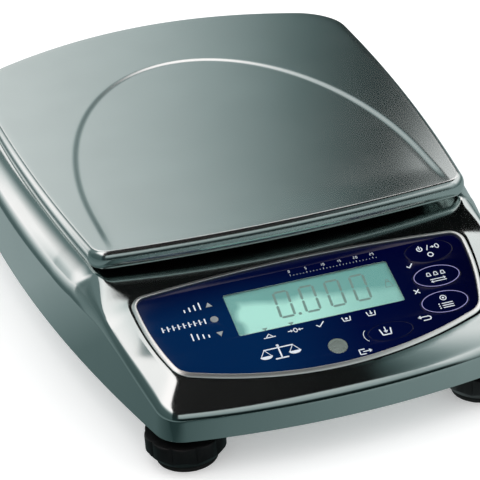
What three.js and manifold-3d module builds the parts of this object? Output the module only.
// A compact bench scale with a pressed stainless-steel housing, a lift-off weighing pan,
// a sloping display and keypad console at the front, and four levelling feet.
// Millimetres, +Z up, +Y to the rear. The origin is on the floor under the middle of the body.

import * as THREE from "three";
import { mergeVertices } from "three/addons/utils/BufferGeometryUtils.js";
import Module from "manifold-3d";

const wasm = await Module();
wasm.setup();

// Overall sizes
const SCALE_HEIGHT = 70;
const BODY_DEPTH = 320;
const BODY_FRONT_WIDTH = 155;
const BODY_REAR_WIDTH = 212;
const FOOT_HEIGHT = 16.5;

// Clearances
const GAP = 0.3;
const OVERRUN = 2;
const WELD = 0.4;
const MERGE_DISTANCE = 1e-4;

// Base outline of the housing
const BODY_FRONT_BOW = 9;
const BODY_SIDE_BOW = 11.3;
const BODY_REAR_BOW = 22;
const BODY_FRONT_CORNER = 14;
const BODY_REAR_CORNER = 36;
const SHEET = 1.2;
const WALL_DRAFT_SHARE = 0.025;

// Weighing pan
const PAN_DEPTH = 242;
const PAN_FRONT_WIDTH = 170.4;
const PAN_REAR_WIDTH = 193.2;
const PAN_FRONT_BOW = 5.6;
const PAN_SIDE_BOW = 4.1;
const PAN_REAR_BOW = 29.6;
const PAN_FRONT_CORNER = 10;
const PAN_REAR_CORNER = 32;
const PAN_SETBACK = 3;
const PAN_RIM = 7.6;
const PAN_EDGE_RADIUS = 3;
const PAN_CURL = 2;
const PAN_SHEET = 1.2;
const PAN_LIFT_GAP = 2.4;

// Arch pressed into the pan
const ARCH_HALF_WIDTH = 76.5;
const ARCH_RISE = 147.5;
const ARCH_SETBACK = 54.5;
const ARCH_DEPTH = 0.8;
const ARCH_SLOPE = 3.4;
const ARCH_FRONT_MARGIN = 4.5;

// Shoulder that the housing forms round the pan
const SHOULDER_DROP = 18;
const SHOULDER_WIDTH = 17;
const SHOULDER_FRONT_MARGIN = 3;
const SHOULDER_CORNER = 26;
const SHOULDER_FALL_SHARE = 2.5;
const VALLEY_BLEND = 5;
const PLATEAU_BLEND = 2;

// Console
const PANEL_SLOPE = THREE.MathUtils.degToRad(18);
const PANEL_WIDTH_TOP = 146;
const PANEL_WIDTH_BOTTOM = 131;
const PANEL_DEPTH = 43.4;
const PANEL_TOP_BOW = 4;
const PANEL_SIDE_BOW = 2.2;
const PANEL_BOTTOM_BOW = 13.5;
const PANEL_CORNER_TOP = 5;
const PANEL_CORNER_BOTTOM = 9;
const PANEL_SETBACK = 43.6;
const PANEL_DROP = 23.2;
const LIP_WIDTH = 3.2;
const LIP_HEIGHT = 0.9;
const SKIRT_HEIGHT = 10.9;
const CREASE_START = 12;
const CREASE_BLEND = 8;
const CREASE_GRADE_SHARE = 0.46;
const CREASE_RADIUS = 3;
const CONSOLE_REACH = 88;
const CONSOLE_CORNER = 16;
const BEZEL_SWELL_SHARE = 0.3;

// Overlay and what sits in it
const OVERLAY_SHEET = 0.8;
const WINDOW_WIDTH = 73.4;
const WINDOW_HEIGHT = 23.8;
const WINDOW_SHIFT = 0.4;
const WINDOW_RAISE = 2.7;
const WINDOW_CORNER = 0.8;
const DISPLAY_RIM = 3.2;
const DISPLAY_DEPTH = 6.5;
const DISPLAY_GLASS = 1.4;
const KEY_WIDTH = 21.8;
const KEY_HEIGHT = 12.6;
const KEY_PITCH = 15;
const KEY_COLUMN = 55;
const KEY_LEAN = 2.1;
const KEY_TRAVEL = 0.5;
const KEY_PROUD = 0.35;
const KEY_STEM = 4;
const TARE_KEY_X = 25;
const TARE_KEY_DROP = 24.2;
const TARE_KEY_WIDTH = 20;
const TARE_KEY_HEIGHT = 9.6;
const LAMP_COLUMN = -43.6;
const LAMP_PITCH = 8.2;
const LAMP_RAISE = 2.8;
const LAMP_SIZE = 3.4;
const LEVEL_X = 1.1;
const LEVEL_DROP = 25.8;
const LEVEL_WINDOW = 8.2;
const LEVEL_BODY = 12;
const LEVEL_HEIGHT = 5.6;
const LEVEL_WALL = 1.4;
const VIAL_CROWN_SHARE = 0.6;

// Boards
const BOARD = 1.6;
const KEY_BOARD_WIDTH = 132;
const KEY_BOARD_DEPTH = 38;
const KEY_BOARD_RAISE = 0.8;
const KEY_BOARD_STAND = 1.7;
const KEY_BOARD_STAND_X = 34;
const MAIN_BOARD_X = -54;
const MAIN_BOARD_WIDTH = 42;
const MAIN_BOARD_DEPTH = 98;
const MAIN_BOARD_STAND = 5;
const BOARD_SCREW = 3;
const BOARD_POST = 6.6;

// Base tray
const TRAY_FLOOR = 2;
const TRAY_RIM_WALL = 2;
const TRAY_RIM_HEIGHT = 11;
const TRAY_RECESS = 1;
const SEAL_WALL = 1;
const SEAL_HEIGHT = 6;
const SEAL_INSET = SHEET + GAP + SEAL_HEIGHT * WALL_DRAFT_SHARE;
const POST_DIAMETER = 9;
const POST_BORE = 4.6;
const POST_INSET = 24;
const POST_FRONT_SETBACK = 95;
const POST_REAR_SETBACK = 72;
const POST_THREAD_DEPTH = 12;
const HOUSING_SCREW = 4;
const HOUSING_SCREW_LENGTH = 10;
const HEAD_SHARE = 1.7;
const HEAD_DEPTH_SHARE = 0.75;

// Load cell and the platform that it carries
const CELL_LENGTH = 130;
const CELL_WIDTH = 28;
const CELL_HEIGHT = 20;
const CELL_HOLE = 14;
const CELL_HOLE_PITCH = 30;
const CELL_SLOT = 3;
const CELL_FOOT_LENGTH = 32;
const CELL_FOOT_HEIGHT = 5;
const CELL_SCREW = 6;
const CELL_SCREW_PITCH = 16;
const CELL_SCREW_GRIP = 9;
const OVERLOAD_TRAVEL = 0.5;
const STOP_SCREW = 6;
const POST_BLOCK = 36;
const BOOT_HOLE = 50;
const BOOT_FOLD = 2.4;
const BOOT_SEAT = 3;
const BOOT_WALL = 0.9;
const SPIDER_SHEET = 4.2;
const SPIDER_ARM_ROOT = 30;
const SPIDER_ARM_TIP = 18;
const SPIDER_REACH_X = 62;
const SPIDER_REACH_Y = 74;
const SPIDER_RIB = 1.4;
const SPIDER_HUB_SHARE = 1.4;
const PAD_DIAMETER = 14;

// Levelling feet
const FOOT_FRONT_X = 66;
const FOOT_REAR_X = 78;
const FOOT_FRONT_SETBACK = 23;
const FOOT_REAR_SETBACK = 46;
const WHEEL_DIAMETER = 37;
const WHEEL_LOBES = 12;
const WHEEL_LOBE_DEPTH = 1.1;
const WHEEL_TOP_GAP = 3;
const WHEEL_CHAMFER_HEIGHT = 4.6;
const PAD_FOOT_DIAMETER = 26;
const PAD_FOOT_HEIGHT = 2;
const PAD_SPIGOT = 10;
const PAD_SPIGOT_HEIGHT = 2.4;
const STUD = 8;
const STUD_LENGTH = 19.5;
const FOOT_BOSS = 18;
const FOOT_BOSS_HEIGHT = 4.5;
const FOOT_NUT_FLATS = 13;
const FOOT_NUT_HEIGHT = 6;

// Power
const JACK_NOSE = 9;
const JACK_BORE = 5.6;
const JACK_PIN = 2;
const JACK_WIDTH = 11;
const JACK_LENGTH = 13;
const JACK_RECESS = 0.4;
const JACK_AXIS_HEIGHT = 12.5;
const JACK_BORE_SHARE = 0.7;
const JACK_PIN_SHARE = 0.8;
const BATTERY_X = 52;
const BATTERY_WIDTH = 40;
const BATTERY_LENGTH = 98;
const BATTERY_HEIGHT = 30;
const BATTERY_CORNER = 3;
const WELL_WALL = 1.6;
const WELL_HEIGHT = 12;
const COVER_LEDGE = 4;
const COVER_SHEET = 1.6;
const COVER_SCREW = 3;

// Places worked out from the sizes above
const FRONT_Y = -BODY_DEPTH / 2;
const REAR_Y = BODY_DEPTH / 2;
const PAN_TOP = SCALE_HEIGHT;
const SKIRT_Z = FOOT_HEIGHT;
const PLATEAU_Z = PAN_TOP - PAN_RIM - PAN_LIFT_GAP;
const PAN_REAR_Y = REAR_Y - PAN_SETBACK;
const PAN_FRONT_Y = PAN_REAR_Y - PAN_DEPTH;
const PAN_MIDDLE_Y = (PAN_REAR_Y + PAN_FRONT_Y) / 2 - (PAN_REAR_BOW - PAN_FRONT_BOW) / 2;
const PANEL_Y = FRONT_Y + PANEL_SETBACK;
const PANEL_Z = PAN_TOP - PANEL_DROP;
const ARCH_BASE_Y = PAN_REAR_Y - ARCH_SETBACK - ARCH_RISE;
const TRAY_Z = SKIRT_Z + TRAY_RECESS;
const TRAY_TOP = TRAY_Z + TRAY_FLOOR;
const CELL_Z = TRAY_TOP + CELL_FOOT_HEIGHT + GAP;
const CELL_TOP = CELL_Z + CELL_HEIGHT;
const CELL_REAR_Y = PAN_MIDDLE_Y + CELL_LENGTH / 2;
const CELL_FRONT_Y = PAN_MIDDLE_Y - CELL_LENGTH / 2;
const FIXED_Y = CELL_REAR_Y - CELL_FOOT_LENGTH / 2;
const LOAD_Y = CELL_FRONT_Y + CELL_FOOT_LENGTH / 2;
const PAN_UNDERSIDE = PAN_TOP - PAN_SHEET;
const SPIDER_Z = PLATEAU_Z + SHEET + OVERLOAD_TRAVEL;
const SPIDER_TOP = SPIDER_Z + SPIDER_SHEET;
const WHEEL_TOP = SKIRT_Z - WHEEL_TOP_GAP;
const BOSS_TOP = TRAY_TOP + FOOT_BOSS_HEIGHT;

const root = new THREE.Group();

// Finishes
const steel = () =>
  new THREE.MeshStandardMaterial({ color: 0x9fb0ae, roughness: 0.26, metalness: 1 });
const zinc = () =>
  new THREE.MeshStandardMaterial({ color: 0xb4b6b2, roughness: 0.35, metalness: 1 });
const castAluminium = () =>
  new THREE.MeshStandardMaterial({ color: 0x8d9292, roughness: 0.55, metalness: 0.9 });
const blackPlastic = () =>
  new THREE.MeshStandardMaterial({ color: 0x0b0b0c, roughness: 0.5, metalness: 0 });
const blackRubber = () =>
  new THREE.MeshStandardMaterial({ color: 0x141414, roughness: 0.85, metalness: 0 });
const bluePrint = () =>
  new THREE.MeshStandardMaterial({ color: 0x04124a, roughness: 0.3, metalness: 0 });
const clear = () =>
  new THREE.MeshStandardMaterial({ color: 0xdfe8e6, roughness: 0.08, metalness: 0 });
const displayGreen = () =>
  new THREE.MeshStandardMaterial({ color: 0xa5dccd, roughness: 0.35, metalness: 0 });
const lampGrey = () =>
  new THREE.MeshStandardMaterial({ color: 0x8a9290, roughness: 0.3, metalness: 0 });
const boardGreen = () =>
  new THREE.MeshStandardMaterial({ color: 0x1d5a35, roughness: 0.6, metalness: 0 });
const batteryGrey = () =>
  new THREE.MeshStandardMaterial({ color: 0x3a3d42, roughness: 0.6, metalness: 0 });

// A closed three.js geometry as a solid that can be joined and cut.
function solid(geometry) {
  const bare = geometry.index ? geometry.toNonIndexed() : geometry.clone();
  bare.deleteAttribute("normal");
  bare.deleteAttribute("uv");
  const merged = mergeVertices(bare, MERGE_DISTANCE);
  const vertProperties = merged.attributes.position.array;
  const triVerts = new Uint32Array(merged.index.array);
  return new wasm.Manifold(new wasm.Mesh({ numProp: 3, vertProperties, triVerts }));
}

function unite(solids) {
  return solids.reduce((sum, next) => sum.add(next));
}

function cut(body, cutters) {
  return cutters.reduce((rest, next) => rest.subtract(next), body);
}

function geometryOf(body) {
  const mesh = body.getMesh();
  const geometry = new THREE.BufferGeometry();
  geometry.setAttribute("position", new THREE.BufferAttribute(mesh.vertProperties, 3));
  geometry.setIndex(new THREE.BufferAttribute(mesh.triVerts, 1));
  geometry.computeVertexNormals();
  return geometry;
}

function addPart(group, name, shape, material) {
  const geometry = shape.isBufferGeometry ? shape : geometryOf(shape);
  const mesh = new THREE.Mesh(geometry, material);
  mesh.name = name;
  group.add(mesh);
  return mesh;
}

// Box between two heights, centred in plan.
function block(width, depth, low, high, x = 0, y = 0) {
  const box = new THREE.BoxGeometry(width, depth, high - low);
  box.translate(x, y, (low + high) / 2);
  return solid(box);
}

// Upright cylinder between two heights.
function round(diameter, low, high, x = 0, y = 0, segments = 14) {
  const height = high - low;
  const cylinder = new THREE.CylinderGeometry(diameter / 2, diameter / 2, height, segments);
  cylinder.rotateX(Math.PI / 2);
  cylinder.translate(x, y, (low + high) / 2);
  return solid(cylinder);
}

// Solid of revolution about the upright axis, from [radius, height] pairs.
function revolve(profile, segments = 16) {
  const points = profile.map(([radius, height]) => new THREE.Vector2(radius, height));
  const lathe = new THREE.LatheGeometry(points, segments);
  lathe.rotateX(Math.PI / 2);
  return solid(lathe);
}

// Straight prism over a closed outline.
function prism(outline, low, high, holes = []) {
  const shape = new THREE.Shape(outline);
  for (const hole of holes) {
    shape.holes.push(new THREE.Path(hole));
  }
  const bar = new THREE.ExtrudeGeometry(shape, { depth: high - low, bevelEnabled: false });
  bar.translate(0, 0, low);
  return solid(bar);
}

// Closed outline whose edges bow outwards as parabolas and whose corners are rounded.
// corners run anticlockwise; bows and radii belong to the edge and corner of the same index.
function bowedOutline(corners, bows, radii, edgeSteps, cornerSteps) {
  const count = corners.length;
  const edges = corners.map((from, i) => {
    const to = corners[(i + 1) % count];
    const along = to.clone().sub(from);
    const out = new THREE.Vector2(along.y, -along.x).normalize();
    const point = (t) =>
      from.clone().addScaledVector(along, t).addScaledVector(out, 4 * bows[i] * t * (1 - t));
    const tangent = (t) =>
      along.clone().addScaledVector(out, 4 * bows[i] * (1 - 2 * t)).normalize();
    return { point, tangent, length: along.length() };
  });
  const turns = edges.map((edge, i) => {
    const before = edges[(i + count - 1) % count];
    const turn = before.tangent(1).angleTo(edge.tangent(0));
    return { turn, reach: radii[i] * Math.tan(turn / 2) };
  });
  const outline = [];
  edges.forEach((edge, i) => {
    const before = edges[(i + count - 1) % count];
    const { turn, reach } = turns[i];
    const leave = 1 - reach / before.length;
    const arrive = reach / edge.length;
    const handle = (4 / 3) * Math.tan(turn / 4) * radii[i];
    const start = before.point(leave);
    const end = edge.point(arrive);
    const corner = new THREE.CubicBezierCurve(
      start,
      start.clone().addScaledVector(before.tangent(leave), handle),
      end.clone().addScaledVector(edge.tangent(arrive), -handle),
      end,
    );
    outline.push(...corner.getPoints(cornerSteps));
    const stop = 1 - turns[(i + 1) % count].reach / edge.length;
    for (let step = 1; step < edgeSteps[i]; step += 1) {
      outline.push(edge.point(arrive + ((stop - arrive) * step) / edgeSteps[i]));
    }
  });
  return outline;
}

function mirroredCorners(frontHalf, frontY, rearHalf, rearY) {
  return [
    new THREE.Vector2(-frontHalf, frontY),
    new THREE.Vector2(frontHalf, frontY),
    new THREE.Vector2(rearHalf, rearY),
    new THREE.Vector2(-rearHalf, rearY),
  ];
}

// Outline moved inwards by a distance, along the mean normal of each point.
function inset(outline, distance) {
  const count = outline.length;
  return outline.map((point, i) => {
    const before = outline[(i + count - 1) % count];
    const after = outline[(i + 1) % count];
    const along = after.clone().sub(before).normalize();
    return new THREE.Vector2(point.x - along.y * distance, point.y + along.x * distance);
  });
}

// Distance of a plan point to a closed outline, positive inside it.
function depthInside(outline, x, y) {
  let best = Infinity;
  let inside = false;
  for (let i = 0, j = outline.length - 1; i < outline.length; j = i, i += 1) {
    const a = outline[j];
    const b = outline[i];
    const length2 = a.distanceToSquared(b);
    const share = ((x - a.x) * (b.x - a.x) + (y - a.y) * (b.y - a.y)) / length2;
    const t = THREE.MathUtils.clamp(share, 0, 1);
    best = Math.min(best, Math.hypot(a.x + (b.x - a.x) * t - x, a.y + (b.y - a.y) * t - y));
    if (a.y > y !== b.y > y && x < ((b.x - a.x) * (y - a.y)) / (b.y - a.y) + a.x) {
      inside = !inside;
    }
  }
  return inside ? best : -best;
}

// Closed skin through rings of equal length; the last ring joins the first.
function ringSkin(rings) {
  const count = rings[0].length;
  const positions = rings.flat().flatMap((point) => [point.x, point.y, point.z]);
  const index = [];
  rings.forEach((ring, r) => {
    const here = r * count;
    const there = ((r + 1) % rings.length) * count;
    for (let i = 0; i < count; i += 1) {
      const next = (i + 1) % count;
      index.push(here + i, here + next, there + next);
      index.push(here + i, there + next, there + i);
    }
  });
  const geometry = new THREE.BufferGeometry();
  geometry.setAttribute("position", new THREE.Float32BufferAttribute(positions, 3));
  geometry.setIndex(index);
  return solid(geometry);
}

function raised(outline, height) {
  return outline.map((point) => new THREE.Vector3(point.x, point.y, height));
}

// Main outlines
const bodyCorners = mirroredCorners(
  BODY_FRONT_WIDTH / 2,
  FRONT_Y + BODY_FRONT_BOW,
  BODY_REAR_WIDTH / 2,
  REAR_Y - BODY_REAR_BOW,
);
const bodyBows = [BODY_FRONT_BOW, BODY_SIDE_BOW, BODY_REAR_BOW, BODY_SIDE_BOW];
const bodyRadii = [BODY_FRONT_CORNER, BODY_FRONT_CORNER, BODY_REAR_CORNER, BODY_REAR_CORNER];
const bodyOutline = bowedOutline(bodyCorners, bodyBows, bodyRadii, [6, 9, 6, 9], 4);

const panCorners = mirroredCorners(
  PAN_FRONT_WIDTH / 2,
  PAN_FRONT_Y + PAN_FRONT_BOW,
  PAN_REAR_WIDTH / 2,
  PAN_REAR_Y - PAN_REAR_BOW,
);
const panBows = [PAN_FRONT_BOW, PAN_SIDE_BOW, PAN_REAR_BOW, PAN_SIDE_BOW];
const panRadii = [PAN_FRONT_CORNER, PAN_FRONT_CORNER, PAN_REAR_CORNER, PAN_REAR_CORNER];
const panOutline = bowedOutline(panCorners, panBows, panRadii, [6, 7, 8, 7], 4);

const panelCorners = mirroredCorners(
  PANEL_WIDTH_BOTTOM / 2,
  -PANEL_DEPTH / 2,
  PANEL_WIDTH_TOP / 2,
  PANEL_DEPTH / 2,
);
const panelBows = [PANEL_BOTTOM_BOW, PANEL_SIDE_BOW, PANEL_TOP_BOW, PANEL_SIDE_BOW];
const panelRadii = [
  PANEL_CORNER_BOTTOM,
  PANEL_CORNER_BOTTOM,
  PANEL_CORNER_TOP,
  PANEL_CORNER_TOP,
];
const panelOutline = bowedOutline(panelCorners, panelBows, panelRadii, [8, 3, 6, 3], 3);

// Half width of the base outline at a distance from front to rear.
function bodyHalfWidth(y) {
  const rearY = REAR_Y - BODY_REAR_BOW;
  const frontY = FRONT_Y + BODY_FRONT_BOW;
  const t = (y - frontY) / (rearY - frontY);
  const straight = THREE.MathUtils.lerp(BODY_FRONT_WIDTH / 2, BODY_REAR_WIDTH / 2, t);
  return straight + 4 * BODY_SIDE_BOW * t * (1 - t);
}

const shoulderFrontY = PAN_FRONT_Y - SHOULDER_FRONT_MARGIN;
const shoulderOutline = bowedOutline(
  mirroredCorners(
    bodyHalfWidth(shoulderFrontY),
    shoulderFrontY,
    BODY_REAR_WIDTH / 2,
    REAR_Y - BODY_REAR_BOW,
  ),
  [0, BODY_SIDE_BOW / 2, BODY_REAR_BOW, BODY_SIDE_BOW / 2],
  [SHOULDER_CORNER, SHOULDER_CORNER, BODY_REAR_CORNER, BODY_REAR_CORNER],
  [6, 16, 12, 16],
  6,
);
const consoleRearY = FRONT_Y + CONSOLE_REACH;
const consoleOutline = bowedOutline(
  mirroredCorners(
    BODY_FRONT_WIDTH / 2,
    FRONT_Y + BODY_FRONT_BOW,
    bodyHalfWidth(consoleRearY),
    consoleRearY,
  ),
  [BODY_FRONT_BOW, BODY_SIDE_BOW / 4, 0, BODY_SIDE_BOW / 4],
  [BODY_FRONT_CORNER, BODY_FRONT_CORNER, CONSOLE_CORNER, CONSOLE_CORNER],
  [10, 8, 4, 8],
  4,
);
const lipOutline = inset(panelOutline, -LIP_WIDTH).map(
  (point) => new THREE.Vector2(point.x, PANEL_Y + point.y * Math.cos(PANEL_SLOPE)),
);

function smoothMax(a, b, blend) {
  const share = THREE.MathUtils.clamp(0.5 + (a - b) / (2 * blend), 0, 1);
  return a * share + b * (1 - share) + (blend / 2) * share * (1 - share);
}

function smoothMin(a, b, blend) {
  return -smoothMax(-a, -b, blend);
}

function consolePlane(y) {
  return PANEL_Z + (y - PANEL_Y) * Math.tan(PANEL_SLOPE);
}

// Height of the crease that ends the side wall of the console.
function creaseHeight(y) {
  const run = y - (FRONT_Y + CREASE_START);
  const ramp = (run + Math.hypot(run, CREASE_BLEND)) / 2;
  return SKIRT_Z + SKIRT_HEIGHT + ramp * CREASE_GRADE_SHARE;
}

// Top surface of the housing before its edges are rounded: a console plane with falling
// bezels, blended into a soft shoulder that follows the pan, under one level plateau.
function topHeight(x, y) {
  const fromEdge = Math.max(0, depthInside(bodyOutline, x, y));
  const fromLip = Math.max(0, -depthInside(lipOutline, x, y));
  const share = fromLip > 0 ? fromEdge / (fromEdge + fromLip) : 1;
  const swell = share * (1 + BEZEL_SWELL_SHARE - BEZEL_SWELL_SHARE * share);
  const pastConsole = Math.min(0, depthInside(consoleOutline, x, y));
  const ruled = THREE.MathUtils.lerp(creaseHeight(y), consolePlane(y), swell);
  const slope = smoothMin(ruled, PLATEAU_Z, PLATEAU_BLEND) + pastConsole * SHOULDER_FALL_SHARE;
  const depth = depthInside(shoulderOutline, x, y);
  const turn = 1 - THREE.MathUtils.clamp(depth / SHOULDER_WIDTH, 0, 1);
  const shoulder =
    PLATEAU_Z -
    SHOULDER_DROP * (1 - Math.sqrt(1 - turn * turn)) +
    Math.min(0, depth) * SHOULDER_FALL_SHARE;
  return Math.min(PLATEAU_Z, smoothMax(slope, shoulder, VALLEY_BLEND));
}

// One skin of the housing: rings from the skirt, up the drafted wall, round the crease and
// over the top to the round opening under the pan.
function housingRings(thickness, creaseShares, topShares) {
  const plan = inset(bodyOutline, thickness);
  const edge = inset(bodyOutline, thickness + (PLATEAU_Z - SKIRT_Z) * WALL_DRAFT_SHARE);
  const centre = new THREE.Vector2(0, LOAD_Y);
  const topZ = (x, y) => topHeight(x, y) - thickness;
  const rims = plan.map((point, i) => {
    const inward = edge[i].clone().sub(point);
    const at = (share) => point.clone().addScaledVector(inward, share);
    let share = 0.5;
    for (let pass = 0; pass < 4; pass += 1) {
      const { x, y } = at(share);
      share = (topZ(x, y) - SKIRT_Z) / (PLATEAU_Z - SKIRT_Z);
    }
    return { crease: at(share), inward: inward.normalize() };
  });
  const skirt = raised(plan, SKIRT_Z);
  const creaseRings = creaseShares.map((reachShare) =>
    rims.map(({ crease, inward }) => {
      const reach = reachShare * CREASE_RADIUS;
      const at = crease.clone().addScaledVector(inward, reach);
      const rest = CREASE_RADIUS - reach;
      const drop = CREASE_RADIUS - Math.sqrt(CREASE_RADIUS ** 2 - rest ** 2);
      return new THREE.Vector3(at.x, at.y, topZ(at.x, at.y) - drop);
    }),
  );
  const last = creaseRings[creaseRings.length - 1];
  const toOpening = topShares.map((share) =>
    last.map((from) => {
      const flat = new THREE.Vector2(from.x, from.y);
      const out = flat.clone().sub(centre).setLength(BOOT_HOLE / 2).add(centre);
      const at = flat.lerp(out, share);
      return new THREE.Vector3(at.x, at.y, topZ(at.x, at.y));
    }),
  );
  return [skirt, ...creaseRings, ...toOpening];
}

// Frame of the console: x across, y up the slope, z square to the panel.
const consoleGroup = new THREE.Group();
consoleGroup.position.set(0, PANEL_Y, PANEL_Z);
consoleGroup.rotation.x = PANEL_SLOPE;
root.add(consoleGroup);
consoleGroup.updateMatrix();
const consoleMatrix = consoleGroup.matrix;

function onConsole(body) {
  return body.transform(consoleMatrix.elements);
}

function ellipse(width, height, x, y, segments = 18) {
  const curve = new THREE.EllipseCurve(x, y, width / 2, height / 2, 0, 2 * Math.PI);
  return curve.getPoints(segments).slice(0, segments);
}

function rectangle(width, height, x, y) {
  return [
    new THREE.Vector2(x - width / 2, y - height / 2),
    new THREE.Vector2(x + width / 2, y - height / 2),
    new THREE.Vector2(x + width / 2, y + height / 2),
    new THREE.Vector2(x - width / 2, y + height / 2),
  ];
}

function roundedRectangle(width, height, radius, x, y) {
  const outline = [];
  [0, 1, 2, 3].forEach((quarter) => {
    const right = quarter === 0 || quarter === 3 ? 1 : -1;
    const rear = quarter < 2 ? 1 : -1;
    const curve = new THREE.EllipseCurve(
      x + right * (width / 2 - radius),
      y + rear * (height / 2 - radius),
      radius,
      radius,
      (quarter * Math.PI) / 2,
      ((quarter + 1) * Math.PI) / 2,
    );
    outline.push(...curve.getPoints(2));
  });
  return outline;
}

function triangle(size, x, y, up) {
  const corners = [0, 1, 2].map((i) => {
    const angle = (up ? Math.PI / 2 : -Math.PI / 2) + (i * 2 * Math.PI) / 3;
    return new THREE.Vector2(x + (size / 2) * Math.cos(angle), y + (size / 2) * Math.sin(angle));
  });
  return corners;
}

const keys = [
  ["key_power", KEY_COLUMN + KEY_LEAN, KEY_PITCH, KEY_WIDTH, KEY_HEIGHT],
  ["key_unit", KEY_COLUMN, 0, KEY_WIDTH, KEY_HEIGHT],
  ["key_menu", KEY_COLUMN - KEY_LEAN, -KEY_PITCH, KEY_WIDTH, KEY_HEIGHT],
  ["key_tare", TARE_KEY_X, -TARE_KEY_DROP, TARE_KEY_WIDTH, TARE_KEY_HEIGHT],
].map(([name, x, y, width, height]) => ({ name, x, y, width, height }));

const lamps = [
  { name: "lamp_over", outline: (size, y) => triangle(size, LAMP_COLUMN, y, true), step: 1 },
  { name: "lamp_accept", outline: (size, y) => ellipse(size, size, LAMP_COLUMN, y, 10), step: 0 },
  { name: "lamp_under", outline: (size, y) => triangle(size, LAMP_COLUMN, y, false), step: -1 },
];
const lampY = (lamp) => LAMP_RAISE + lamp.step * LAMP_PITCH;

// Levels square to the panel, measured from the console plane
const OVERLAY_BACK = -OVERLAY_SHEET;
const POCKET_FLOOR = OVERLAY_BACK - GAP;
const POCKET_BACK = POCKET_FLOOR - SHEET;
const KEY_BOARD_TOP = POCKET_BACK - KEY_BOARD_STAND;
const KEY_BOARD_BACK = KEY_BOARD_TOP - BOARD;

const windowOutline = (margin) =>
  roundedRectangle(
    WINDOW_WIDTH + 2 * margin,
    WINDOW_HEIGHT + 2 * margin,
    WINDOW_CORNER + Math.max(0, margin),
    WINDOW_SHIFT,
    WINDOW_RAISE,
  );
const levelOutline = (margin) =>
  ellipse(LEVEL_WINDOW + 2 * margin, LEVEL_WINDOW + 2 * margin, LEVEL_X, -LEVEL_DROP, 14);
const keyOutline = (key, margin) =>
  ellipse(key.width + 2 * margin, key.height + 2 * margin, key.x, key.y);
const keyBoardOutline = (margin) =>
  roundedRectangle(
    KEY_BOARD_WIDTH + 2 * margin,
    KEY_BOARD_DEPTH + 2 * margin,
    WINDOW_CORNER,
    0,
    KEY_BOARD_RAISE,
  );

// Holes that pass through the overlay and the pocket floor behind it.
function consoleHoles(low, high) {
  return [
    prism(windowOutline(GAP), low, high),
    prism(levelOutline(GAP), low, high),
    ...keys.map((key) => prism(keyOutline(key, GAP), low, high)),
    ...lamps.map((lamp) => prism(lamp.outline(LAMP_SIZE + 4 * GAP, lampY(lamp)), low, high)),
  ];
}

// Raised lip round the pocket of the panel, rounded over its crown.
function panelLip() {
  const profile = [
    [0, -OVERLAY_SHEET],
    [0, LIP_HEIGHT / 2],
    [LIP_WIDTH / 5, LIP_HEIGHT],
    [LIP_WIDTH / 2, LIP_HEIGHT],
    [LIP_WIDTH, -WELD / 2],
    [LIP_WIDTH, -OVERLAY_SHEET],
  ];
  const rings = profile.map(([out, height]) => raised(inset(panelOutline, -GAP - out), height));
  return ringSkin(rings.reverse());
}

// Places of the four posts that hang from the housing and take its screws.
const posts = [FRONT_Y + POST_FRONT_SETBACK, REAR_Y - POST_REAR_SETBACK].flatMap((y) =>
  [-1, 1].map((side) => ({ x: side * (bodyHalfWidth(y) - POST_INSET), y })),
);

// Rear opening for the low-voltage plug.
const JACK_Z = SKIRT_Z + JACK_AXIS_HEIGHT;
const JACK_WALL_Y = REAR_Y - JACK_AXIS_HEIGHT * WALL_DRAFT_SHARE;

function alongY(body, y, z) {
  return body.rotate([-90, 0, 0]).translate([0, y, z]);
}

function makeHousing() {
  const outerCreaseShares = [0, 0.15, 0.45, 1];
  const outerTopShares = [0.05, 0.12, 0.22, 0.38, 0.6, 0.8, 1];
  const innerCreaseShares = [0, 0.45];
  const innerTopShares = [0.05, 0.22, 0.5, 0.8, 1];
  const outer = housingRings(0, outerCreaseShares, outerTopShares);
  const inner = housingRings(SHEET, innerCreaseShares, innerTopShares).reverse();
  const shell = ringSkin([...outer, ...inner]);
  const backing = prism(inset(panelOutline, -LIP_WIDTH / 2), POCKET_BACK, OVERLAY_BACK);
  const stand = (x, y) =>
    round(POST_BORE, KEY_BOARD_TOP + GAP, POCKET_BACK + WELD, x, y, 8);
  const stands = [-1, 1].flatMap((side) => [
    stand(side * (KEY_BOARD_WIDTH / 2 - POST_BORE), 0),
    stand(side * KEY_BOARD_STAND_X, KEY_BOARD_RAISE - KEY_BOARD_DEPTH / 2 + POST_BORE / 2),
  ]);
  const pocket = prism(inset(panelOutline, -GAP), POCKET_FLOOR, LIP_HEIGHT + OVERRUN);
  const studs = posts.map(({ x, y }) =>
    round(POST_DIAMETER, TRAY_TOP + GAP, topHeight(x, y) - WELD, x, y, 12),
  );
  const bores = posts.map(({ x, y }) =>
    round(POST_BORE, TRAY_Z - OVERRUN, TRAY_TOP + POST_THREAD_DEPTH, x, y, 8),
  );
  const plug = alongY(round(JACK_NOSE + 2 * GAP, -SHEET - OVERRUN, OVERRUN), JACK_WALL_Y, JACK_Z);
  // The boards and the display have their own room behind the console.
  const roomBehind = prism(keyBoardOutline(GAP), KEY_BOARD_BACK - DISPLAY_DEPTH, POCKET_BACK);
  const bootSeat = round(BOOT_HOLE + 2 * BOOT_SEAT, CELL_TOP, PLATEAU_Z - SHEET, 0, LOAD_Y, 20);
  const skin = unite([shell, onConsole(unite([panelLip(), backing]))]);
  const freed = cut(skin, [onConsole(roomBehind), bootSeat]);
  const solidParts = unite([freed, onConsole(unite(stands)), ...studs]);
  const openings = [
    onConsole(unite([pocket, ...consoleHoles(POCKET_BACK - OVERRUN, LIP_HEIGHT)])),
    ...bores,
    plug,
  ];
  return cut(solidParts, openings);
}

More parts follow.
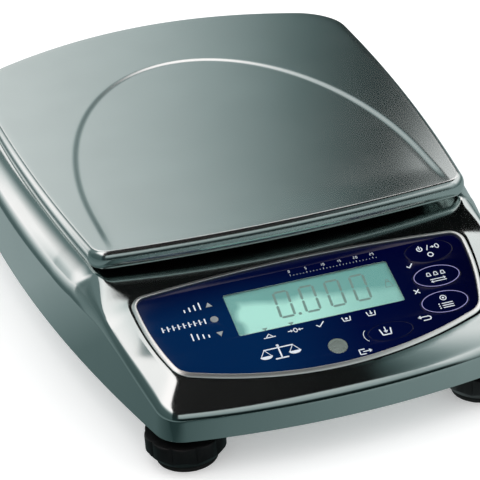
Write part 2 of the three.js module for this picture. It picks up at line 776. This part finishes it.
function makeOverlay() {
  const sheet = prism(panelOutline, OVERLAY_BACK, 0);
  return cut(sheet, consoleHoles(OVERLAY_BACK - OVERRUN, OVERRUN));
}

function makeKey(key) {
  const crown = ellipse(key.width - 2 * KEY_PROUD, key.height - 2 * KEY_PROUD, 0, 0);
  const cap = new THREE.ExtrudeGeometry(new THREE.Shape(crown), {
    depth: OVERLAY_SHEET,
    bevelThickness: KEY_PROUD,
    bevelSize: KEY_PROUD,
    bevelSegments: 1,
    curveSegments: 1,
  });
  cap.translate(0, 0, OVERLAY_BACK);
  const stem = round(KEY_STEM, KEY_BOARD_TOP + KEY_TRAVEL + GAP, OVERLAY_BACK, 0, 0, 8);
  return unite([solid(cap), stem]);
}

function makeDisplay() {
  const glass = prism(windowOutline(0), OVERLAY_BACK - GAP - DISPLAY_GLASS, OVERLAY_BACK - GAP);
  const width = WINDOW_WIDTH + 2 * DISPLAY_RIM;
  const height = WINDOW_HEIGHT + 2 * DISPLAY_RIM;
  const caseTop = POCKET_BACK - GAP;
  const frame = prism(
    roundedRectangle(width, height, WINDOW_CORNER, WINDOW_SHIFT, WINDOW_RAISE),
    caseTop - DISPLAY_DEPTH,
    caseTop,
  );
  const neck = prism(windowOutline(-WINDOW_CORNER), caseTop - GAP, OVERLAY_BACK - 2 * GAP);
  return unite([glass, neck, frame]);
}

function makeKeyBoard() {
  const board = prism(keyBoardOutline(0), KEY_BOARD_BACK, KEY_BOARD_TOP);
  const tab = prism(
    rectangle(TARE_KEY_WIDTH, TARE_KEY_HEIGHT, TARE_KEY_X, -TARE_KEY_DROP + TARE_KEY_HEIGHT / 4),
    KEY_BOARD_BACK,
    KEY_BOARD_TOP,
  );
  const bay = roundedRectangle(
    WINDOW_WIDTH + 2 * DISPLAY_RIM + 2 * GAP,
    WINDOW_HEIGHT + 2 * DISPLAY_RIM + 2 * GAP,
    WINDOW_CORNER,
    WINDOW_SHIFT,
    WINDOW_RAISE,
  );
  const low = KEY_BOARD_BACK - OVERRUN;
  const high = KEY_BOARD_TOP + OVERRUN;
  return cut(unite([board, tab]), [prism(bay, low, high)]);
}

function addConsole() {
  addPart(root, "top_housing", makeHousing(), steel());
  addPart(consoleGroup, "panel_overlay", makeOverlay(), bluePrint());
  addPart(consoleGroup, "display_window", prism(windowOutline(0), OVERLAY_BACK, 0), clear());
  addPart(consoleGroup, "display_module", makeDisplay(), displayGreen());
  addPart(consoleGroup, "key_board", makeKeyBoard(), boardGreen());
  for (const key of keys) {
    const mesh = addPart(consoleGroup, key.name, makeKey(key), bluePrint());
    mesh.position.set(key.x, key.y, 0);
  }
  for (const lamp of lamps) {
    const guide = prism(lamp.outline(LAMP_SIZE, lampY(lamp)), KEY_BOARD_TOP + GAP, 0);
    addPart(consoleGroup, lamp.name, guide, lampGrey());
  }
  const eye = prism(levelOutline(0), POCKET_BACK, 0);
  addPart(consoleGroup, "level_window", eye, clear());
}

// Circular level under its window, kept upright on a boss of the tray.
const levelPlace = new THREE.Vector3(LEVEL_X, -LEVEL_DROP, POCKET_BACK).applyMatrix4(consoleMatrix);
const LEVEL_TOP = levelPlace.z - (LEVEL_BODY / 2) * Math.tan(PANEL_SLOPE) - GAP;
const LEVEL_Z = LEVEL_TOP - LEVEL_HEIGHT;

function addLevel() {
  const rim = LEVEL_BODY / 2;
  const bowl = rim - LEVEL_WALL;
  const cup = revolve([
    [0, LEVEL_Z],
    [rim, LEVEL_Z],
    [rim, LEVEL_TOP],
    [bowl, LEVEL_TOP],
    [bowl, LEVEL_Z + LEVEL_WALL],
    [0, LEVEL_Z + LEVEL_WALL],
  ]);
  const vial = revolve([
    [0, LEVEL_Z + LEVEL_WALL + GAP],
    [bowl - GAP, LEVEL_Z + LEVEL_WALL + GAP],
    [bowl - GAP, LEVEL_TOP - LEVEL_WALL],
    [bowl * VIAL_CROWN_SHARE, LEVEL_TOP - LEVEL_WALL / 2],
    [0, LEVEL_TOP - LEVEL_WALL / 4],
  ]);
  const place = [levelPlace.x, levelPlace.y, 0];
  addPart(root, "level_cup", cup.translate(place), blackPlastic());
  addPart(root, "level_vial", vial.translate(place), clear());
}

// Region of the pan that the arch presses down, with the front edge kept whole.
function archOutline(margin) {
  const half = ARCH_HALF_WIDTH + margin;
  const frontY = PAN_FRONT_Y + PAN_FRONT_BOW + ARCH_FRONT_MARGIN - margin;
  const arc = new THREE.EllipseCurve(0, ARCH_BASE_Y, half, ARCH_RISE + margin, 0, Math.PI);
  const points = arc.getPoints(26);
  return [...points, new THREE.Vector2(-half, frontY), new THREE.Vector2(half, frontY)];
}

function taperedPrism(lowOutline, highOutline, low, high) {
  const count = lowOutline.length;
  const bottom = raised(lowOutline, low);
  const top = raised(highOutline, high);
  const positions = [...bottom, ...top].flatMap((point) => [point.x, point.y, point.z]);
  const index = [];
  for (let i = 0; i < count; i += 1) {
    const next = (i + 1) % count;
    index.push(i, next, count + next);
    index.push(i, count + next, count + i);
  }
  for (const [a, b, c] of THREE.ShapeUtils.triangulateShape(lowOutline, [])) {
    index.push(a, c, b);
  }
  for (const [a, b, c] of THREE.ShapeUtils.triangulateShape(highOutline, [])) {
    index.push(count + a, count + b, count + c);
  }
  const geometry = new THREE.BufferGeometry();
  geometry.setAttribute("position", new THREE.Float32BufferAttribute(positions, 3));
  geometry.setIndex(index);
  return solid(geometry);
}

function makePan() {
  const corner = (share) => {
    const angle = (share * Math.PI) / 2;
    return [PAN_EDGE_RADIUS * (1 - Math.cos(angle)), PAN_EDGE_RADIUS * (1 - Math.sin(angle))];
  };
  const roundOff = [0, 0.33, 0.67, 1].map(corner);
  const rimZ = PAN_TOP - PAN_RIM;
  const outer = [
    raised(inset(panOutline, PAN_CURL), rimZ),
    raised(inset(panOutline, PAN_SHEET / 3), rimZ),
    raised(panOutline, rimZ + PAN_SHEET / 3),
    ...roundOff.map(([inward, drop]) => raised(inset(panOutline, inward), PAN_TOP - drop)),
    raised(inset(panOutline, PAN_FRONT_CORNER), PAN_TOP),
  ];
  const underside = [
    raised(inset(panOutline, PAN_FRONT_CORNER), PAN_UNDERSIDE),
    raised(inset(panOutline, PAN_EDGE_RADIUS + PAN_SHEET), PAN_UNDERSIDE),
    raised(inset(panOutline, PAN_SHEET), PAN_UNDERSIDE - PAN_EDGE_RADIUS + PAN_SHEET),
    raised(inset(panOutline, PAN_SHEET), rimZ + PAN_SHEET),
    raised(inset(panOutline, PAN_CURL), rimZ + PAN_SHEET),
  ];
  const rim = ringSkin([...outer, ...underside]);
  const plate = prism(inset(panOutline, PAN_FRONT_CORNER - WELD), PAN_UNDERSIDE, PAN_TOP);
  const press = (top, bottom) =>
    taperedPrism(archOutline(-ARCH_SLOPE / 2), archOutline(ARCH_SLOPE / 2), bottom, top);
  const hollow = press(PAN_TOP, PAN_TOP - ARCH_DEPTH);
  const belly = press(PAN_UNDERSIDE, PAN_UNDERSIDE - ARCH_DEPTH);
  const above = prism(archOutline(ARCH_SLOPE / 2), PAN_TOP, PAN_TOP + OVERRUN);
  return cut(unite([rim, plate, belly]), [hollow, above]);
}

// Screw standing on its head, or hanging from it, with a plain shank.
function screw(diameter, headZ, tipZ, x, y) {
  const up = Math.sign(tipZ - headZ);
  const headEnd = headZ - up * diameter * HEAD_DEPTH_SHARE;
  const [low, high] = [Math.min(headZ, headEnd), Math.max(headZ, headEnd)];
  const head = round(diameter * HEAD_SHARE, low, high, x, y, 12);
  const reach = headZ - up * WELD;
  const shank = round(diameter, Math.min(reach, tipZ), Math.max(reach, tipZ), x, y, 8);
  return unite([head, shank]);
}

const cellScrewYs = (middle) => [middle - CELL_SCREW_PITCH / 2, middle + CELL_SCREW_PITCH / 2];
const SCREW_SLOT = CELL_SCREW + 2 * GAP;
const SCREW_HEAD = CELL_SCREW * HEAD_SHARE;
const STOP_BOSS_TOP = TRAY_TOP + CELL_FOOT_HEIGHT / 2;
const STOP_TOP = CELL_Z - OVERLOAD_TRAVEL;
const STOP_Y = CELL_FRONT_Y + STOP_SCREW;

// Single-point load cell: a beam with two joined round holes that leave thin flexures.
function makeLoadCell() {
  const profile = rectangle(CELL_LENGTH, CELL_HEIGHT, PAN_MIDDLE_Y, CELL_Z + CELL_HEIGHT / 2);
  const middleZ = CELL_Z + CELL_HEIGHT / 2;
  const half = CELL_HOLE_PITCH / 2;
  const halfWidth = CELL_WIDTH / 2;
  const toX = (body) => body.rotate([90, 0, 90]);
  const beam = toX(prism(profile, -halfWidth, halfWidth));
  const holes = [-half, half].map((offset) =>
    toX(
      prism(
        ellipse(CELL_HOLE, CELL_HOLE, PAN_MIDDLE_Y + offset, middleZ, 20),
        -halfWidth - OVERRUN,
        halfWidth + OVERRUN,
      ),
    ),
  );
  const slot = toX(
    prism(
      rectangle(CELL_HOLE_PITCH, CELL_SLOT, PAN_MIDDLE_Y, middleZ),
      -halfWidth - OVERRUN,
      halfWidth + OVERRUN,
    ),
  );
  const grip = CELL_SCREW_GRIP + GAP;
  const fixedBores = cellScrewYs(FIXED_Y).map((y) =>
    round(SCREW_SLOT, CELL_Z - OVERRUN, CELL_Z + grip, 0, y, 12),
  );
  const loadBores = cellScrewYs(LOAD_Y).map((y) =>
    round(SCREW_SLOT, CELL_TOP - grip, CELL_TOP + OVERRUN, 0, y, 12),
  );
  return cut(beam, [...holes, slot, ...fixedBores, ...loadBores]);
}

function makeSpider() {
  const hub = round(POST_BLOCK + SPIDER_ARM_TIP / 2, SPIDER_Z, SPIDER_TOP, 0, LOAD_Y, 20);
  const spine = block(SPIDER_ARM_ROOT, PAN_MIDDLE_Y - LOAD_Y, SPIDER_Z, SPIDER_TOP, 0,
    (PAN_MIDDLE_Y + LOAD_Y) / 2);
  const middle = round(SPIDER_ARM_ROOT * SPIDER_HUB_SHARE, SPIDER_Z, SPIDER_TOP, 0, PAN_MIDDLE_Y, 20);
  const reach = Math.hypot(SPIDER_REACH_X, SPIDER_REACH_Y);
  const arms = spiderTips().map(({ x, y }) => {
    const angle = THREE.MathUtils.radToDeg(Math.atan2(y - PAN_MIDDLE_Y, x));
    const arm = [
      new THREE.Vector2(0, -SPIDER_ARM_ROOT / 2),
      new THREE.Vector2(reach, -SPIDER_ARM_TIP / 2),
      new THREE.Vector2(reach, SPIDER_ARM_TIP / 2),
      new THREE.Vector2(0, SPIDER_ARM_ROOT / 2),
    ];
    const web = prism(arm, SPIDER_Z, SPIDER_TOP - SPIDER_RIB);
    const ribs = [-1, 1].map((side) => {
      const edge = [
        new THREE.Vector2(0, (side * SPIDER_ARM_ROOT) / 2),
        new THREE.Vector2(reach, (side * SPIDER_ARM_TIP) / 2),
        new THREE.Vector2(reach, side * (SPIDER_ARM_TIP / 2 - SPIDER_RIB)),
        new THREE.Vector2(0, side * (SPIDER_ARM_ROOT / 2 - SPIDER_RIB)),
      ];
      return prism(side > 0 ? edge.reverse() : edge, SPIDER_Z, SPIDER_TOP);
    });
    return unite([web, ...ribs]).rotate([0, 0, angle]).translate([0, PAN_MIDDLE_Y, 0]);
  });
  const tips = spiderTips().map(({ x, y }) =>
    round(SPIDER_ARM_TIP, SPIDER_Z, SPIDER_TOP - SPIDER_RIB, x, y, 12),
  );
  const bores = cellScrewYs(LOAD_Y).flatMap((y) => [
    round(SCREW_SLOT, SPIDER_Z - OVERRUN, SPIDER_TOP + OVERRUN, 0, y, 12),
    round(SCREW_HEAD + 2 * GAP, SPIDER_TOP - SPIDER_RIB - GAP, SPIDER_TOP + OVERRUN, 0, y, 12),
  ]);
  return cut(unite([hub, spine, middle, ...arms, ...tips]), bores);
}

function spiderTips() {
  return [
    [-1, -1],
    [1, -1],
    [-1, 1],
    [1, 1],
  ].map(([side, end]) => ({
    x: side * SPIDER_REACH_X,
    y: PAN_MIDDLE_Y + end * SPIDER_REACH_Y,
  }));
}

function panUndersideAt(x, y) {
  const pressed = depthInside(archOutline(0), x, y) > 0;
  return PAN_UNDERSIDE - (pressed ? ARCH_DEPTH : 0);
}

function addWeighing() {
  addPart(root, "pan", makePan(), steel());
  addPart(root, "platform_spider", makeSpider(), castAluminium());
  spiderTips().forEach(({ x, y }, i) => {
    const low = SPIDER_TOP - SPIDER_RIB + GAP;
    const pad = round(PAD_DIAMETER, low, panUndersideAt(x, y) - GAP, x, y);
    addPart(root, `pan_pad_${i + 1}`, pad, blackRubber());
  });
  addPart(root, "load_cell", makeLoadCell(), castAluminium());
  const spacer = block(CELL_WIDTH, CELL_FOOT_LENGTH, TRAY_TOP + GAP, CELL_Z - GAP, 0, FIXED_Y);
  const footBores = cellScrewYs(FIXED_Y).map((y) =>
    round(SCREW_SLOT, TRAY_TOP - OVERRUN, CELL_Z + OVERRUN, 0, y, 12),
  );
  addPart(root, "load_cell_spacer", cut(spacer, footBores), zinc());
  const post = round(POST_BLOCK, CELL_TOP + GAP, SPIDER_Z - GAP, 0, LOAD_Y, 20);
  const postBores = cellScrewYs(LOAD_Y).map((y) =>
    round(SCREW_SLOT, CELL_TOP - OVERRUN, SPIDER_TOP + OVERRUN, 0, y, 12),
  );
  addPart(root, "platform_post", cut(post, postBores), zinc());
  cellScrewYs(FIXED_Y).forEach((y, i) => {
    const bolt = screw(CELL_SCREW, TRAY_Z - GAP, CELL_Z + CELL_SCREW_GRIP, 0, y);
    addPart(root, `cell_fixing_screw_${i + 1}`, bolt, zinc());
  });
  cellScrewYs(LOAD_Y).forEach((y, i) => {
    const low = CELL_TOP - CELL_SCREW_GRIP;
    const head = round(SCREW_HEAD, SPIDER_TOP - SPIDER_RIB, SPIDER_TOP + GAP, 0, y, 12);
    const bolt = unite([head, round(CELL_SCREW, low, SPIDER_TOP, 0, y, 12)]);
    addPart(root, `cell_platform_screw_${i + 1}`, bolt, zinc());
  });
  const stop = unite([
    round(STOP_SCREW, TRAY_Z, STOP_TOP, 0, STOP_Y, 12),
    round(STOP_SCREW * HEAD_SHARE, STOP_BOSS_TOP + GAP, STOP_TOP - WELD, 0, STOP_Y, 6),
  ]);
  addPart(root, "overload_stop", stop, zinc());
  addPart(root, "post_boot", makeBoot(), blackRubber());
}

// Thin rubber ring with one fold that closes the opening round the post.
function makeBoot() {
  const inner = POST_BLOCK / 2 + GAP;
  const outer = BOOT_HOLE / 2 + BOOT_FOLD;
  const seat = PLATEAU_Z - SHEET - GAP;
  const fold = seat - BOOT_WALL - BOOT_FOLD;
  const profile = [
    [inner, seat],
    [inner, seat - BOOT_WALL],
    [inner + BOOT_FOLD, seat - BOOT_WALL],
    [inner + BOOT_FOLD, fold],
    [inner + BOOT_FOLD + 2 * BOOT_WALL, fold],
    [inner + BOOT_FOLD + 2 * BOOT_WALL, seat - BOOT_WALL],
    [outer, seat - BOOT_WALL],
    [outer, seat],
  ];
  return revolve([...profile, profile[0]], 20).translate([0, LOAD_Y, 0]);
}

const feet = [
  [-FOOT_FRONT_X, FRONT_Y + FOOT_FRONT_SETBACK],
  [FOOT_FRONT_X, FRONT_Y + FOOT_FRONT_SETBACK],
  [-FOOT_REAR_X, REAR_Y - FOOT_REAR_SETBACK],
  [FOOT_REAR_X, REAR_Y - FOOT_REAR_SETBACK],
].map(([x, y]) => ({ x, y }));

function makeWheel() {
  const low = PAD_FOOT_HEIGHT + GAP;
  const steps = WHEEL_LOBES * 2;
  const outline = Array.from({ length: steps }, (_, i) => {
    const angle = (i / steps) * 2 * Math.PI;
    const lobe = Math.abs(Math.cos((angle * WHEEL_LOBES) / 2));
    const radius = WHEEL_DIAMETER / 2 - WHEEL_LOBE_DEPTH * (1 - Math.sqrt(lobe));
    return new THREE.Vector2(radius * Math.cos(angle), radius * Math.sin(angle));
  });
  const grip = prism(outline, low, WHEEL_TOP);
  const rim = WHEEL_DIAMETER / 2;
  const foot = PAD_FOOT_DIAMETER / 2 + GAP;
  const turned = revolve([
    [0, low],
    [foot, low],
    [rim, low + WHEEL_CHAMFER_HEIGHT],
    [rim, WHEEL_TOP - WHEEL_LOBE_DEPTH],
    [rim - WHEEL_LOBE_DEPTH, WHEEL_TOP],
    [0, WHEEL_TOP],
  ], 24);
  const socket = round(PAD_SPIGOT + 2 * GAP, low - OVERRUN, low + PAD_SPIGOT_HEIGHT + GAP);
  const stud = round(STUD, WHEEL_TOP - WELD, WHEEL_TOP + STUD_LENGTH, 0, 0, 12);
  return unite([cut(grip.intersect(turned), [socket]), stud]);
}

function makeFootPad() {
  const base = PAD_FOOT_DIAMETER / 2;
  const spigot = PAD_SPIGOT / 2;
  const top = PAD_FOOT_HEIGHT + PAD_SPIGOT_HEIGHT;
  return revolve([
    [0, 0],
    [base - GAP, 0],
    [base, GAP],
    [base, PAD_FOOT_HEIGHT],
    [spigot, PAD_FOOT_HEIGHT],
    [spigot, top],
    [0, top],
  ]);
}

function makeFootNut() {
  const flats = round(FOOT_NUT_FLATS / Math.cos(Math.PI / 6), BOSS_TOP + GAP,
    BOSS_TOP + GAP + FOOT_NUT_HEIGHT, 0, 0, 6);
  return cut(flats, [round(STUD + 2 * GAP, BOSS_TOP, BOSS_TOP + 2 * FOOT_NUT_HEIGHT, 0, 0, 16)]);
}

function addFeet() {
  const wheel = geometryOf(makeWheel());
  const pad = geometryOf(makeFootPad());
  const nut = geometryOf(makeFootNut());
  feet.forEach(({ x, y }, i) => {
    const group = new THREE.Group();
    group.position.set(x, y, 0);
    addPart(group, `foot_wheel_${i + 1}`, wheel, blackPlastic());
    addPart(group, `foot_pad_${i + 1}`, pad, blackRubber());
    addPart(group, `foot_nut_${i + 1}`, nut, zinc());
    root.add(group);
  });
}

const BATTERY_Y = PAN_MIDDLE_Y;
const boardHoles = [-1, 1].flatMap((side) =>
  [-1, 1].map((end) => ({
    x: MAIN_BOARD_X + side * (MAIN_BOARD_WIDTH / 2 - BOARD_SCREW),
    y: PAN_MIDDLE_Y + end * (MAIN_BOARD_DEPTH / 2 - BOARD_SCREW),
  })),
);

function makeTray() {
  const edge = inset(bodyOutline, SEAL_INSET + SEAL_WALL + GAP);
  const floor = prism(edge, TRAY_Z, TRAY_TOP);
  const rim = prism(edge, TRAY_Z, TRAY_Z + TRAY_RIM_HEIGHT, [inset(edge, TRAY_RIM_WALL)]);
  const footBosses = feet.map(({ x, y }) => round(FOOT_BOSS, TRAY_Z, BOSS_TOP, x, y, 12));
  const stopBoss = round(FOOT_BOSS, TRAY_Z, STOP_BOSS_TOP, 0, STOP_Y);
  const levelSeat = Math.max(LEVEL_Z - GAP, TRAY_TOP);
  const levelBoss = round(LEVEL_BODY, TRAY_Z, levelSeat, levelPlace.x, levelPlace.y);
  const well = prism(
    roundedRectangle(
      BATTERY_WIDTH + 2 * (GAP + WELL_WALL),
      BATTERY_LENGTH + 2 * (GAP + WELL_WALL),
      BATTERY_CORNER + WELL_WALL,
      BATTERY_X,
      BATTERY_Y,
    ),
    TRAY_Z,
    TRAY_Z + WELL_HEIGHT,
  );
  const wellSpace = prism(
    roundedRectangle(
      BATTERY_WIDTH + 2 * GAP,
      BATTERY_LENGTH + 2 * GAP,
      BATTERY_CORNER,
      BATTERY_X,
      BATTERY_Y,
    ),
    TRAY_TOP,
    TRAY_Z + WELL_HEIGHT + OVERRUN,
  );
  const coverPocket = prism(coverOutline(GAP), TRAY_Z - OVERRUN, TRAY_Z + COVER_SHEET - WELD);
  const hatch = prism(
    roundedRectangle(
      BATTERY_WIDTH - 2 * COVER_LEDGE,
      BATTERY_LENGTH - 2 * COVER_LEDGE,
      BATTERY_CORNER,
      BATTERY_X,
      BATTERY_Y,
    ),
    TRAY_Z - OVERRUN,
    TRAY_TOP + OVERRUN,
  );
  const boardPosts = boardHoles.map(({ x, y }) =>
    round(BOARD_POST, TRAY_Z, TRAY_TOP + MAIN_BOARD_STAND, x, y, 10),
  );
  const jackSeat = block(
    JACK_WIDTH,
    JACK_LENGTH,
    TRAY_Z,
    JACK_Z - JACK_WIDTH / 2 - GAP,
    0,
    JACK_REAR_Y - JACK_LENGTH / 2,
  );
  const jackNotch = block(
    JACK_WIDTH + 2 * GAP,
    JACK_LENGTH,
    JACK_Z - JACK_WIDTH / 2 - GAP,
    TRAY_Z + TRAY_RIM_HEIGHT + OVERRUN,
    0,
    REAR_Y - JACK_LENGTH / 2,
  );
  const through = (diameter, x, y, top = TRAY_TOP) =>
    round(diameter, TRAY_Z - OVERRUN, top + OVERRUN, x, y, 12);
  const holes = [
    ...feet.map(({ x, y }) => through(STUD + 2 * GAP, x, y, BOSS_TOP)),
    ...cellScrewYs(FIXED_Y).map((y) => through(SCREW_SLOT, 0, y)),
    ...posts.map(({ x, y }) => through(HOUSING_SCREW + 2 * GAP, x, y)),
    through(STOP_SCREW + 2 * GAP, 0, STOP_Y, STOP_BOSS_TOP),
    ...boardHoles.map(({ x, y }) =>
      round(BOARD_SCREW + 2 * GAP, TRAY_TOP, TRAY_TOP + MAIN_BOARD_STAND + OVERRUN, x, y, 8),
    ),
    ...coverScrews.map(({ x, y }) => through(COVER_SCREW + 2 * GAP, x, y)),
    round(LEVEL_BODY + 2 * GAP, LEVEL_Z - GAP, LEVEL_TOP, levelPlace.x, levelPlace.y),
  ];
  const body = unite([floor, rim, ...footBosses, stopBoss, levelBoss, well, ...boardPosts, jackSeat]);
  return cut(body, [wellSpace, coverPocket, hatch, jackNotch, ...holes]);
}

function coverOutline(margin) {
  const overhang = 3 * COVER_LEDGE;
  return roundedRectangle(
    BATTERY_WIDTH - 2 * COVER_LEDGE + 2 * margin + COVER_LEDGE,
    BATTERY_LENGTH + overhang + 2 * margin,
    BATTERY_CORNER,
    BATTERY_X,
    BATTERY_Y,
  );
}

const coverScrews = [-1, 1].map((end) => ({
  x: BATTERY_X,
  y: BATTERY_Y + end * (BATTERY_LENGTH / 2 + COVER_SCREW),
}));
const JACK_REAR_Y = REAR_Y - SEAL_INSET - SEAL_WALL - GAP;

function makeMainBoard() {
  const low = TRAY_TOP + MAIN_BOARD_STAND + GAP;
  const board = block(MAIN_BOARD_WIDTH, MAIN_BOARD_DEPTH, low, low + BOARD, MAIN_BOARD_X, PAN_MIDDLE_Y);
  const top = low + BOARD;
  const chip = MAIN_BOARD_WIDTH / 3;
  const chips = [
    [chip, chip, 0, 0, BOARD],
    [chip / 2, chip, -chip / 2, -MAIN_BOARD_DEPTH / 4, 2 * BOARD],
    [chip, chip / 2, 0, MAIN_BOARD_DEPTH / 4, 4 * BOARD],
    [chip / 2, chip / 2, chip / 2, -MAIN_BOARD_DEPTH / 3, 3 * BOARD],
  ].map(([width, depth, x, y, height]) =>
    block(width, depth, top - WELD, top + height, MAIN_BOARD_X + x, PAN_MIDDLE_Y + y),
  );
  const bores = boardHoles.map(({ x, y }) =>
    round(BOARD_SCREW + 2 * GAP, low - OVERRUN, top + OVERRUN, x, y, 8),
  );
  return cut(unite([board, ...chips]), bores);
}

// Low-voltage socket with its centre pin, open to the rear.
function makeJack() {
  const body = block(
    JACK_WIDTH,
    JACK_LENGTH,
    JACK_Z - JACK_WIDTH / 2,
    JACK_Z + JACK_WIDTH / 2,
    0,
    JACK_REAR_Y - JACK_LENGTH / 2,
  );
  const noseEnd = JACK_WALL_Y - JACK_RECESS;
  const nose = alongY(round(JACK_NOSE, -WELD, noseEnd - JACK_REAR_Y), JACK_REAR_Y, JACK_Z);
  const bore = alongY(
    round(JACK_BORE, -JACK_LENGTH * JACK_BORE_SHARE, noseEnd - JACK_REAR_Y + OVERRUN),
    JACK_REAR_Y,
    JACK_Z,
  );
  const pin = alongY(round(JACK_PIN, -JACK_LENGTH * JACK_PIN_SHARE, 0, 0, 0, 8), JACK_REAR_Y, JACK_Z);
  return unite([cut(unite([body, nose]), [bore]), pin]);
}

function addBase() {
  addPart(root, "base_tray", makeTray(), castAluminium());
  const sealEdge = inset(bodyOutline, SEAL_INSET);
  const seal = prism(sealEdge, TRAY_Z, TRAY_Z + SEAL_HEIGHT, [inset(sealEdge, SEAL_WALL)]);
  addPart(root, "base_seal", seal, blackRubber());
  posts.forEach(({ x, y }, i) => {
    const bolt = screw(HOUSING_SCREW, TRAY_Z - GAP, TRAY_TOP + HOUSING_SCREW_LENGTH, x, y);
    addPart(root, `housing_screw_${i + 1}`, bolt, zinc());
  });
  addPart(root, "main_board", makeMainBoard(), boardGreen());
  boardHoles.forEach(({ x, y }, i) => {
    const top = TRAY_TOP + MAIN_BOARD_STAND + 2 * GAP + BOARD;
    const bolt = screw(BOARD_SCREW, top, TRAY_TOP + GAP, x, y);
    addPart(root, `board_screw_${i + 1}`, bolt, zinc());
  });
  addPart(root, "power_jack", makeJack(), blackPlastic());
  const battery = prism(
    roundedRectangle(BATTERY_WIDTH, BATTERY_LENGTH, BATTERY_CORNER, BATTERY_X, BATTERY_Y),
    TRAY_TOP + GAP,
    TRAY_TOP + GAP + BATTERY_HEIGHT,
  );
  addPart(root, "battery", battery, batteryGrey());
  const cover = prism(coverOutline(0), TRAY_Z, TRAY_Z + COVER_SHEET - WELD - GAP);
  const coverBores = coverScrews.map(({ x, y }) =>
    round(COVER_SCREW + 2 * GAP, TRAY_Z - OVERRUN, TRAY_TOP, x, y, 12),
  );
  addPart(root, "battery_cover", cut(cover, coverBores), blackPlastic());
  coverScrews.forEach(({ x, y }, i) => {
    const bolt = screw(COVER_SCREW, TRAY_Z - GAP, TRAY_TOP + GAP, x, y);
    addPart(root, `cover_screw_${i + 1}`, bolt, zinc());
  });
}

addConsole();
addLevel();
addWeighing();
addFeet();
addBase();

export default root;
